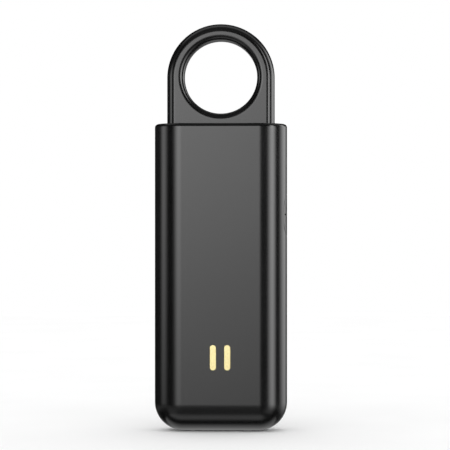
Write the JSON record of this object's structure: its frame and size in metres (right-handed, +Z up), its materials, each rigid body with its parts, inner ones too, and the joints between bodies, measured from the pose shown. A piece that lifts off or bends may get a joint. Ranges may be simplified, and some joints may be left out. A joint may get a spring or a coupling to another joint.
{
  "type": "personal safety alarm",
  "caption": "Slim rounded hand-held safety alarm: a pull ring unplugs from its square top to sound the siren, with a side light button and gold charging bars on the back.",
  "frame": {"origin": "under the middle of the body's rounded base", "axes": "+Z up towards the pull ring, -Y out of the back that carries the charging bars, +X towards the side button"},
  "size_m": [0.03, 0.0128, 0.0921],
  "materials": {
    "shell_plastic": "fine satin, moulded",
    "ring_plastic": "satin, moulded",
    "button_plastic": "satin, moulded",
    "gold_plate": "gold-plated, bright",
    "steel": "turned",
    "clear_plastic": "clear, polished",
    "board_green": "solder mask",
    "chip_black": "moulded package",
    "led_body": "white package with a yellow die cover",
    "ferrite": "dull ferrite",
    "capacitor_body": "fired ceramic",
    "cell_foil": "laminated foil",
    "tape": "double-sided tape",
    "foam": "soft foam",
    "brass": "rolled",
    "piezo": "silvered ceramic",
    "gasket": "soft rubber",
    "wire_red": "insulated wire",
    "wire_black": "insulated wire",
    "mesh": "fine woven mesh"
  },
  "bodies": {
    "housing": {"back_shell": "shell_plastic", "front_shell": "shell_plastic", "pull_switch_socket": "chip_black", "switch_leaf_left": "gold_plate", "switch_leaf_right": "gold_plate", "tact_switch": "steel", "light_lens": "clear_plastic", "light_led": "led_body", "main_board": "board_green", "board_screws": "steel", "controller_chip": "chip_black", "charger_chip": "chip_black", "driver_transistor": "chip_black", "boost_coil": "ferrite", "chip_capacitors": "capacitor_body", "chip_resistors": "chip_black", "charge_bar_left": "gold_plate", "charge_bar_right": "gold_plate", "bar_springs": "gold_plate", "battery_cell": "cell_foil", "battery_guard_board": "board_green", "battery_lead_red": "wire_red", "battery_lead_black": "wire_black", "battery_tape": "tape", "battery_pad": "foam", "sounder_plate": "brass", "sounder_disc": "piezo", "sounder_gasket": "gasket", "sounder_lead_red": "wire_red", "sounder_lead_black": "wire_black", "sound_mesh": "mesh"},
    "ring": {"pull_ring": "ring_plastic", "pull_pin": "steel"},
    "button": {"light_button": "button_plastic", "tact_plunger": "chip_black"}
  },
  "joints": [
    {"name": "ring_pull", "type": "slide", "parent": "housing", "child": "ring", "axis": [0, 0, 1], "range_m": [0, 0.014]},
    {"name": "button_press", "type": "slide", "parent": "housing", "child": "button", "axis": [-1, 0, 0], "range_m": [0, 0.0004], "stiffness_N_per_m": 1500, "springref_m": -0.0006}
  ]
}
